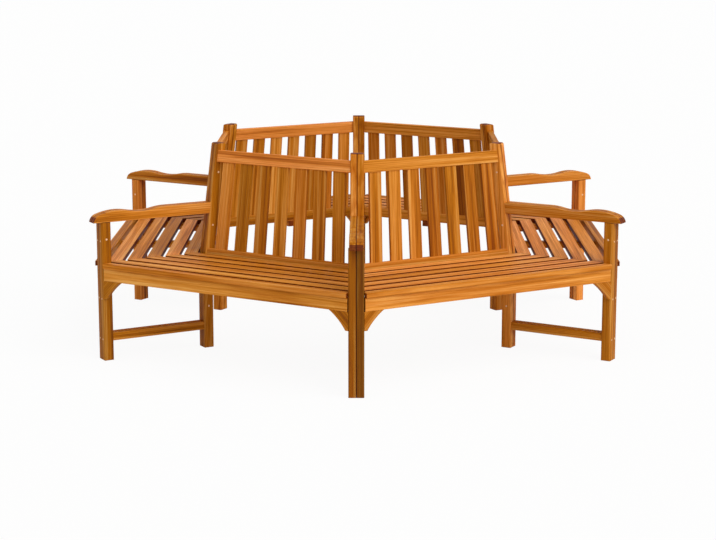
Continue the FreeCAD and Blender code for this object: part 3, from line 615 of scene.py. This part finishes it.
def back_slat_tree():
    """A fan of upright slats between the two rails of a leaning back."""
    tree, given = new_tree("back_slat_fan", {
        "Slats": "Int", "Width": "Float", "Thickness": "Float", "Length": "Float", "Pitch Low": "Float",
        "Pitch High": "Float", "Foot": "Vector", "Rake": "Float", "Lean Line": "Float", "Turn": "Float",
        "Seed": "Int", "Timber": "Material"})
    # Feet in a row, its middle at the middle of the side
    last = add(tree, "ShaderNodeMath", {0: given["Slats"], 1: 1}, operation="SUBTRACT")
    middle = add(tree, "ShaderNodeMath", {0: last, 1: 2}, operation="DIVIDE")
    start = add(tree, "ShaderNodeMath", {0: middle, 1: given["Pitch Low"]}, operation="MULTIPLY")
    start_place = add(tree, "ShaderNodeCombineXYZ", {0: start})
    row_start = add(tree, "ShaderNodeVectorMath", {0: start_place, "Scale": -1.0}, operation="SCALE")
    pitch = add(tree, "ShaderNodeCombineXYZ", {0: given["Pitch Low"]})
    row = add(tree, "GeometryNodeMeshLine", {"Count": given["Slats"], "Start Location": row_start,
                                             "Offset": pitch})
    # Each slat sways out by its steps from the middle
    steps = add(tree, "ShaderNodeMath", {0: add(tree, "GeometryNodeInputIndex"), 1: middle},
                operation="SUBTRACT")
    fan = add(tree, "ShaderNodeMath", {0: given["Pitch High"], 1: given["Pitch Low"]}, operation="SUBTRACT")
    spread = add(tree, "ShaderNodeMath", {0: steps, 1: fan}, operation="MULTIPLY")
    sway = add(tree, "ShaderNodeMath", {0: spread, 1: given["Length"]}, operation="ARCTAN2")
    sway_turn = add(tree, "ShaderNodeCombineXYZ", {1: sway})
    # One slat, stood on its foot
    size = add(tree, "ShaderNodeCombineXYZ", {0: given["Width"], 1: given["Thickness"], 2: given["Length"]})
    cube = add(tree, "GeometryNodeMeshCube", {"Size": size})
    place = add(tree, "ShaderNodeSeparateXYZ", {0: add(tree, "GeometryNodeInputPosition")}).outputs
    slat = facing_marked(tree, grained(tree, cube, [place["Z"], place["X"], place["Y"]]), "Z", "end")
    half = add(tree, "ShaderNodeMath", {0: given["Length"], 1: 2}, operation="DIVIDE")
    rise = add(tree, "ShaderNodeCombineXYZ", {2: half})
    stood = add(tree, "GeometryNodeTransform", {"Geometry": slat, "Translation": rise})
    slats = add(tree, "GeometryNodeInstanceOnPoints", {"Points": row, "Instance": stood,
                                                       "Rotation": sway_turn})
    # Stand the fan on the lower rail and lean it back
    varied = marked(tree, slats, given["Seed"], darkest=(0.35, 0.0, 0.0), lightest=(0.75, 1.0, 1.0))
    raised = add(tree, "GeometryNodeTransform", {"Geometry": varied, "Translation": given["Foot"]})
    line = add(tree, "ShaderNodeCombineXYZ", {1: given["Lean Line"]})
    rake = add(tree, "ShaderNodeCombineXYZ", {0: given["Rake"]})
    leaned = add(tree, "GeometryNodeTransform", {"Geometry": raised, "Translation": line, "Rotation": rake})
    return finished(tree, leaned, given)


def seat_slat_tree():
    """Rows of flat slats, each cut at both ends along the corners' centre planes."""
    tree, given = new_tree("seat_slat_rows", {
        "Rows": "Int", "Front": "Float", "Width": "Float", "Gap": "Float", "Darkest": "Float",
        "Thickness": "Float", "Underside": "Float", "Mitre Gap": "Float", "Corner Angle": "Float",
        "Turn": "Float", "Seed": "Int", "Timber": "Material"})
    # Middles of the slats, from the front one backwards
    half_width = add(tree, "ShaderNodeMath", {0: given["Width"], 1: 2}, operation="DIVIDE")
    first = add(tree, "ShaderNodeMath", {0: given["Front"], 1: half_width}, operation="SUBTRACT")
    half_thick = add(tree, "ShaderNodeMath", {0: given["Thickness"], 1: 2}, operation="DIVIDE")
    level = add(tree, "ShaderNodeMath", {0: given["Underside"], 1: half_thick}, operation="ADD")
    row_start = add(tree, "ShaderNodeCombineXYZ", {1: first, 2: level})
    pitch = add(tree, "ShaderNodeMath", {0: given["Width"], 1: given["Gap"]}, operation="ADD")
    pitch_forward = add(tree, "ShaderNodeCombineXYZ", {1: pitch})
    step = add(tree, "ShaderNodeVectorMath", {0: pitch_forward, "Scale": -1.0}, operation="SCALE")
    row = add(tree, "GeometryNodeMeshLine", {"Count": given["Rows"], "Offset": step,
                                             "Start Location": row_start})
    size = add(tree, "ShaderNodeCombineXYZ", {0: given["Front"], 1: given["Width"], 2: given["Thickness"]})
    slat = facing_marked(tree, add(tree, "GeometryNodeMeshCube", {"Size": size}), "X", "end")
    # Painted shade: the sides that stand in the gaps are darkened, as if shaded by the neighbouring slats
    slat = facing_marked(tree, slat, "Y", "seam")
    slats = add(tree, "GeometryNodeInstanceOnPoints", {"Points": row, "Instance": slat})
    darkest = add(tree, "ShaderNodeCombineXYZ", {0: given["Darkest"]})
    varied = marked(tree, slats, given["Seed"], darkest, lightest=(1.0, 1.0, 1.0))
    real = add(tree, "GeometryNodeRealizeInstances", {"Geometry": varied})
    # The blocks' ends move along the side to the centre planes, less half the mitre's gap
    place = add(tree, "ShaderNodeSeparateXYZ", {0: add(tree, "GeometryNodeInputPosition")}).outputs
    slope = add(tree, "ShaderNodeMath", {0: given["Corner Angle"]}, operation="TANGENT")
    across = add(tree, "ShaderNodeMath", {0: place["Y"], 1: slope}, operation="MULTIPLY")
    narrow = add(tree, "ShaderNodeMath", {0: given["Corner Angle"]}, operation="COSINE")
    half_gap = add(tree, "ShaderNodeMath", {0: given["Mitre Gap"], 1: 2}, operation="DIVIDE")
    clear = add(tree, "ShaderNodeMath", {0: half_gap, 1: narrow}, operation="DIVIDE")
    reach = add(tree, "ShaderNodeMath", {0: across, 1: clear}, operation="SUBTRACT")
    hand = add(tree, "ShaderNodeMath", {0: place["X"]}, operation="SIGN")
    end = add(tree, "ShaderNodeMath", {0: reach, 1: hand}, operation="MULTIPLY")
    cut_place = add(tree, "ShaderNodeCombineXYZ", {0: end, 1: place["Y"], 2: place["Z"]})
    mitred = add(tree, "GeometryNodeSetPosition", {"Geometry": real, "Position": cut_place})
    return finished(tree, grained(tree, mitred, [place["X"], place["Y"], place["Z"]]), given)


def plug_tree():
    """Round plugs seated in the faces that the points' own aims give."""
    tree, given = new_tree("plug_seats", {"Points": "Geometry", "Diameter": "Float", "Depth": "Float",
                                          "Turn": "Float", "Timber": "Material"})
    radius = add(tree, "ShaderNodeMath", {0: given["Diameter"], 1: 2}, operation="DIVIDE")
    plug = add(tree, "GeometryNodeMeshCylinder", {"Vertices": 20, "Radius": radius, "Depth": given["Depth"]})
    aim = add(tree, "GeometryNodeInputNamedAttribute", {"Name": "aim"}, data_type="FLOAT_VECTOR")
    facing = add(tree, "FunctionNodeAlignRotationToVector", {"Vector": aim.outputs[0]}, axis="Z")
    plugs = add(tree, "GeometryNodeInstanceOnPoints", {"Points": given["Points"], "Instance": plug.outputs[0],
                                                       "Rotation": facing})
    return finished(tree, plugs, given)


back_slats, seat_slats, plug_seats = back_slat_tree(), seat_slat_tree(), plug_tree()
# Ends of a back slat, measured up the leaning plane
slat_foot = LOWER_RAIL[1] / math.cos(BACK_RAKE) - BURIED
slat_head = TOP_RAIL[0] / math.cos(BACK_RAKE) + BURIED
# Half of the slats' steps, and the gaps left between the fan and the posts
half_fan, low_gap, high_gap = (BACK_SLATS - 1) / 2, 37.5, 30
pitch_low = (along(back_face(LOWER_RAIL[1]), BOARD) - low_gap - BACK_SLAT_WIDTH / 2) / half_fan
pitch_high = (along(back_face(TOP_RAIL[0]), BOARD) - high_gap - BACK_SLAT_WIDTH / 2) / half_fan
# The darkest slat of a seat, on the scale of the boards' brightness. Two seats have pale slats only
PALE_SEATS = ("right", "front_right")
DARKEST, DARKEST_PALE = 0.5, 0.8
FAN_SEED, ROW_SEED = 20, 60
for number, (name, azimuth) in enumerate(SIDES.items()):
    turn = math.radians(azimuth - SIDE_AXIS)
    fan = grown(f"{name}_side_back_slat_fan", back_slats, {
        "Slats": BACK_SLATS, "Width": BACK_SLAT_WIDTH * MM, "Thickness": BACK_SLAT_THICKNESS * MM,
        "Length": (slat_head - slat_foot) * MM, "Pitch Low": pitch_low * MM, "Pitch High": pitch_high * MM,
        "Foot": (0, -BACK_RAIL / 2 * MM, slat_foot * MM), "Rake": BACK_RAKE, "Lean Line": LEAN_LINE * MM,
        "Turn": turn, "Seed": FAN_SEED + number, "Timber": TIMBER})
    declared(soften(fan, width=2), "oiled_hardwood", f"{name}_side_back_slats")
    rows = grown(f"{name}_side_seat_slat_rows", seat_slats, {
        "Rows": FULL_SLATS, "Front": (SEAT_FRONT - FRONT_SLAT - SLAT_GAP) * MM, "Width": SLAT_WIDTH * MM,
        "Gap": SLAT_GAP * MM, "Darkest": DARKEST_PALE if name in PALE_SEATS else DARKEST,
        "Thickness": SLAT_THICKNESS * MM, "Underside": SLAT_UNDER * MM, "Mitre Gap": MITRE_GAP * MM,
        "Corner Angle": HALF, "Turn": turn, "Seed": ROW_SEED + number, "Timber": TIMBER})
    declared(soften(rows, width=1.2), "oiled_hardwood", f"{name}_side_seat_slats")

# Plugs over the bolts, and in the end faces of the side corners' legs, standing a little proud of the wood
PROUD, PLUG_DEPTH, PLUG_EASE = 0.3, 5, 0.6
# Their diameters and heights
BOLT_PLUG, END_PLUG = 9, 8
LEG_BOLT, POST_BOLTS, END_PLUGS = 528, (188, 548, 779), (520, 270, 92)


def plugged(name, seats, corners, diameter, node):
    """Plugs at each corner's seats: a seat is a place and the way it faces, in the corner's own axes."""
    mesh = bpy.data.meshes.new(name)
    places, aims = (np.concatenate([turned(np.array(column), angle) for angle in corners])
                    for column in zip(*seats))
    mesh.from_pydata((places * MM).tolist(), [], [])
    mesh.attributes.new("aim", "FLOAT_VECTOR", "POINT").data.foreach_set(
        "vector", aims.astype(np.float32).ravel())
    plugs = grown(name, plug_seats, {"Diameter": diameter * MM, "Depth": PLUG_DEPTH * MM, "Turn": 0.0,
                                     "Timber": PLUG}, mesh)
    declared(soften(plugs, PLUG_EASE), "pale_plug_wood", node)


sunk = PLUG_DEPTH / 2 - PROUD
bolt_seats = [(CORNER_REACH - LEG_DEPTH / 2, LEG_THICKNESS, LEG_BOLT)]
bolt_seats += [(min(POST_REACH, post_face(height)) - POST_DEPTH / 2, BOARD, height)
               for height in POST_BOLTS]
plugged("bolt_plug_discs", [((x, hand * (y - sunk), z), (0.0, hand, 0.0)) for x, y, z in bolt_seats
                            for hand in (1, -1)], everywhere, BOLT_PLUG, "bolt_plugs")
plugged("leg_end_plug_discs", [((CORNER_REACH - sunk, hand * LEG_THICKNESS / 2, z), (1.0, 0.0, 0.0))
                               for z in END_PLUGS for hand in (1, -1)],
        [CORNERS[name] for name in PLUGGED_CORNERS], END_PLUG, "leg_end_plugs")

# CAD pieces that keep their own shape, hidden in the joints or under the seat
for name, material in (("frame_bolts", STEEL), ("frame_nuts", STEEL), ("slat_screws", STEEL),
                       ("back_rail_dowels", DOWEL), ("arm_dowels", DOWEL), ("frame_dowels", DOWEL)):
    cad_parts[name].data.materials.clear()
    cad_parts[name].data.materials.append(material)


def shown(tree):
    """1 for a ray that shows the background: from the camera, or from gloss or glass that mirrors it."""
    rays = add(tree, "ShaderNodeLightPath").outputs
    glossy = add(tree, "ShaderNodeMath", {0: rays["Is Camera Ray"], 1: rays["Is Glossy Ray"]},
                 operation="MAXIMUM")
    return add(tree, "ShaderNodeMath", {0: glossy, 1: rays["Is Transmission Ray"]}, operation="MAXIMUM")


# Floor, backdrop and lamps. To the camera the floor is mostly its own white, so that it meets the backdrop
OWN_WHITE, WORLD_LIGHT, HALF_FLOOR = 0.93, 0.28, 60
floor = new_piece("floor", bpy.data.meshes.new("floor"))
floor_corners = [(x * HALF_FLOOR, y * HALF_FLOOR, 0) for x, y in ((-1, -1), (1, -1), (1, 1), (-1, 1))]
floor.data.from_pydata(floor_corners, [], [(0, 1, 2, 3)])
pale, tree, shader = new_material("pale_studio_floor", {"Base Color": hue("#EDEDEB"), "Roughness": 0.9})
share = add(tree, "ShaderNodeMath", {0: shown(tree), 1: OWN_WHITE}, operation="MULTIPLY")
white = add(tree, "ShaderNodeEmission", {"Color": hue("#FFFFFF"), "Strength": 1.0})
mixed = add(tree, "ShaderNodeMixShader", {0: share, 1: shader, 2: white})
tree.links.new(mixed.outputs[0], tree.nodes["Material Output"].inputs["Surface"])
floor.data.materials.append(pale)

bpy.context.scene.world = world = bpy.data.worlds.new("studio")
world.use_nodes = True
tree = world.node_tree
level = add(tree, "ShaderNodeMapRange", {"Value": shown(tree), "To Min": WORLD_LIGHT, "To Max": 1.0})
tree.links.new(level.outputs[0], tree.nodes["Background"].inputs["Strength"])
tree.nodes["Background"].inputs["Color"].default_value = hue("#FFFFFF")

for name, strength, spread, azimuth, height in (("right_lamp", 2.5, 60, 48, 42),
                                                ("left_lamp", 0.6, 60, -60, 38)):
    lamp = bpy.data.objects.new(name, bpy.data.lights.new(name, "SUN"))
    lamp.data.energy, lamp.data.angle = strength, math.radians(spread)
    lamp.rotation_euler = (math.radians(90 - height), 0, math.radians(azimuth))
    bpy.context.scene.collection.objects.link(lamp)
bpy.context.scene.view_settings.view_transform = "Standard"
